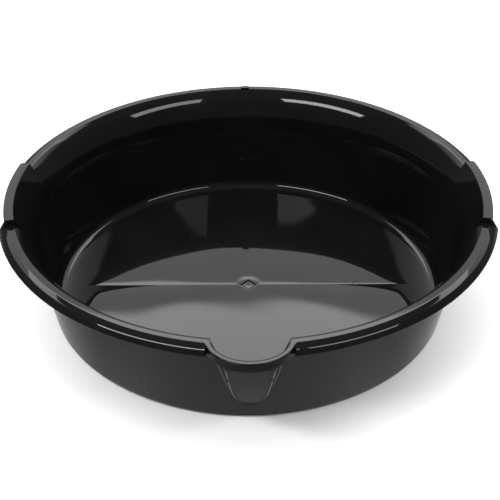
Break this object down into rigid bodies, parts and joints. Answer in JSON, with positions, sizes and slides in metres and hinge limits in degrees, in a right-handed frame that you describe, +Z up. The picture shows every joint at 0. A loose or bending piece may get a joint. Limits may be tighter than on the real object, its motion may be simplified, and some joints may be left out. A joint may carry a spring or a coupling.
{
  "type": "oil drain pan",
  "caption": "Round open pan with tapered wall, a flat-topped rim with a hanging skirt, a raised grip on each side and a pouring spout at the front.",
  "frame": {"origin": "centre of the bowl's flat underside", "axes": "+Z up out of the open bowl, -Y towards the pouring spout, +X and -X towards the two grips"},
  "size_m": [0.3592, 0.3805, 0.09],
  "materials": {
    "pan_plastic": "glossy black injection-moulded plastic"
  },
  "bodies": {
    "root": {"floor": "pan_plastic", "side_wall": "pan_plastic", "rim_back": "pan_plastic", "rim_front_left": "pan_plastic", "rim_front_right": "pan_plastic", "grip_left": "pan_plastic", "grip_right": "pan_plastic", "pour_spout": "pan_plastic"}
  },
  "joints": []
}
